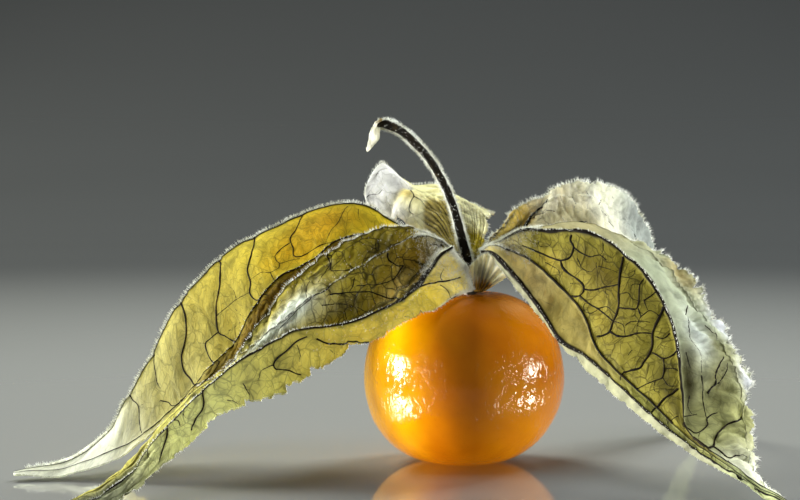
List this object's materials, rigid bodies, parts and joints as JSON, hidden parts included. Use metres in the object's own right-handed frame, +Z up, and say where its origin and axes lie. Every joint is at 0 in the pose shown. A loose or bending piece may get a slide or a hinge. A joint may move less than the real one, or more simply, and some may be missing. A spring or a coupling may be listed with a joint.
{
  "type": "physalis berry",
  "caption": "Round ripe physalis berry with a bent stalk, standing under its dry netted husk, which is torn open and spread like a tent.",
  "frame": {"origin": "centre of the small flat spot under the berry that it stands on", "axes": "+Z up, +X to the right along the widest spread of the husk, +Y away from the side the long front lobes point to"},
  "size_m": [0.06, 0.0452, 0.0294],
  "materials": {
    "berry_skin": "smooth waxy orange fruit skin",
    "stalk": "dry, dark, hairy",
    "pale_flake": "dry papery skin",
    "husk_base": "dry pleated husk",
    "husk_left_back": "golden dry husk with dark veins",
    "husk_left_front": "olive to pale dry husk with dark veins",
    "husk_right_front": "olive dry husk with dark veins",
    "husk_right_back": "pale dry husk",
    "husk_back": "pale dry husk"
  },
  "bodies": {
    "root": {"berry": "berry_skin", "pedicel": "stalk", "stem_end_flake": "pale_flake", "husk_base": "husk_base", "husk_lobe_left_back": "husk_left_back", "husk_lobe_left_front": "husk_left_front", "husk_lobe_right_front": "husk_right_front", "husk_lobe_right_back": "husk_right_back", "husk_lobe_back": "husk_back"}
  },
  "joints": []
}
